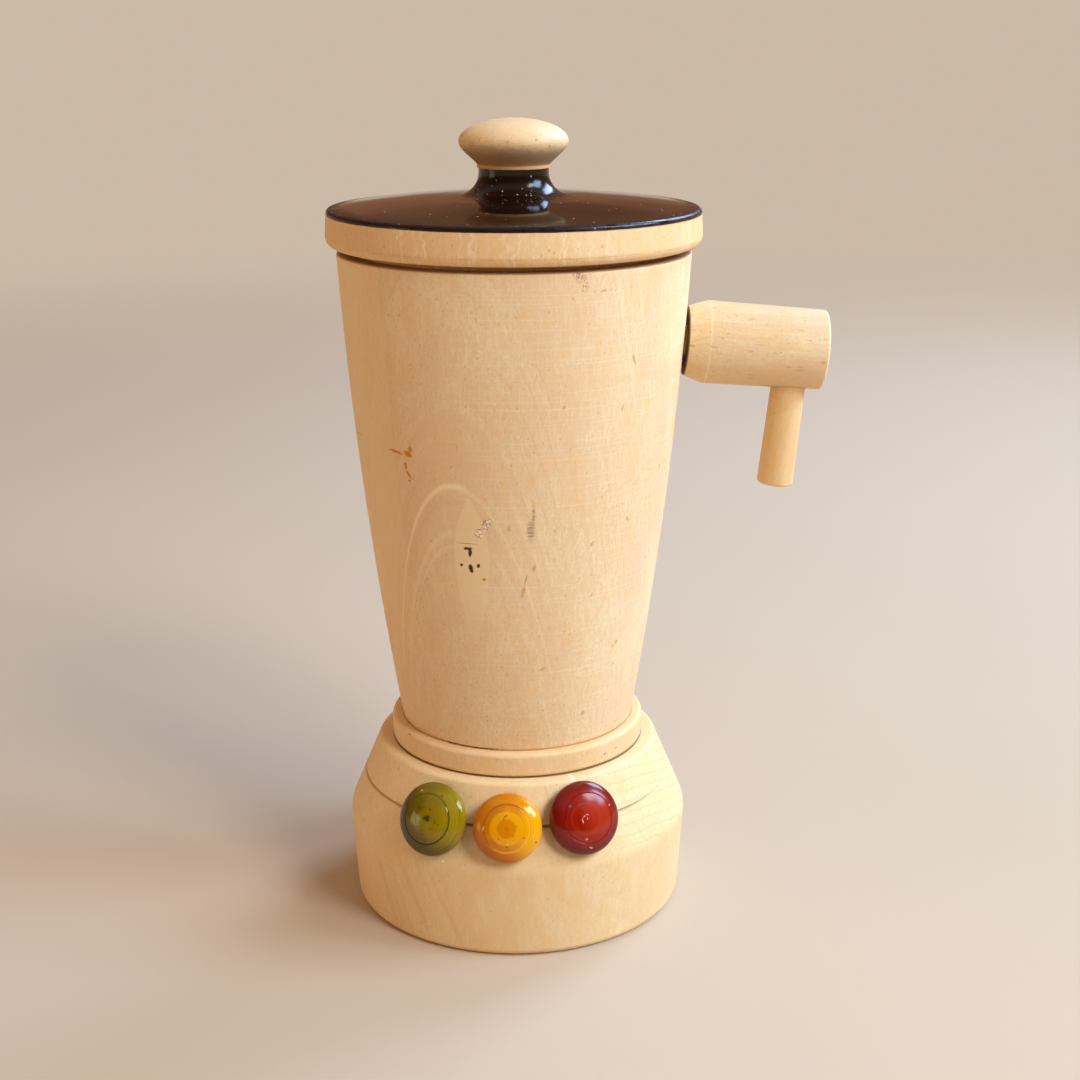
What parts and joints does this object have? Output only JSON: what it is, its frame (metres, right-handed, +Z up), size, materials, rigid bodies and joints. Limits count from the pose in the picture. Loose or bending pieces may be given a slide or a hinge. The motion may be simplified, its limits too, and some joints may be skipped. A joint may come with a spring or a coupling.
{
  "type": "toy blender",
  "caption": "Turned wooden toy blender: a tapered jar with a lacquered lid and a side handle lifts off a round base with turning knobs.",
  "frame": {"origin": "centre of the underside of the base, on the ground", "axes": "+Z up along the turning axis of base, jar and lid; +X points out along the handle; the knobs on the base face -Y"},
  "size_m": [0.0978, 0.0738, 0.1589],
  "materials": {
    "pale_wood": "fine sanded, bare, satin",
    "jar_wood": "fine turned, bare, satin",
    "lid_wood_and_lacquer": "gloss lacquer on the top and neck, bare wood at the rim",
    "green_lacquer": "gloss lacquer",
    "yellow_lacquer": "gloss lacquer",
    "red_lacquer": "gloss lacquer"
  },
  "bodies": {
    "base": {"base": "pale_wood"},
    "locating_peg": {"seat_peg": "pale_wood"},
    "jar": {"jar_foot": "pale_wood", "jar_body": "jar_wood", "handle_dowel": "pale_wood", "handle_bar": "pale_wood", "handle_peg": "pale_wood"},
    "lid": {"lid_disc": "lid_wood_and_lacquer", "lid_knob": "pale_wood"},
    "green_knob": {"button_green": "green_lacquer"},
    "yellow_knob": {"button_yellow": "yellow_lacquer"},
    "red_knob": {"button_red": "red_lacquer"}
  },
  "joints": [
    {"name": "jar_turn", "type": "hinge", "parent": "base", "child": "locating_peg", "pos_m": [0, 0, 0.0345], "axis": [0, 0, 1], "continuous": true},
    {"name": "jar_lift", "type": "slide", "parent": "locating_peg", "child": "jar", "axis": [0, 0, 1], "range_m": [0, 0.045]},
    {"name": "lid_lift", "type": "slide", "parent": "jar", "child": "lid", "axis": [0, 0, 1], "range_m": [0, 0.03]},
    {"name": "green_turn", "type": "hinge", "parent": "base", "child": "green_knob", "pos_m": [-0.01612, -0.02736, 0.0268], "axis": [-0.4675, -0.7937, 0.3893], "continuous": true},
    {"name": "yellow_turn", "type": "hinge", "parent": "base", "child": "yellow_knob", "pos_m": [-0.00249, -0.03166, 0.0268], "axis": [-0.0723, -0.9183, 0.3893], "continuous": true},
    {"name": "red_turn", "type": "hinge", "parent": "base", "child": "red_knob", "pos_m": [0.01153, -0.02927, 0.02749], "axis": [0.3376, -0.857, 0.3893], "continuous": true}
  ]
}
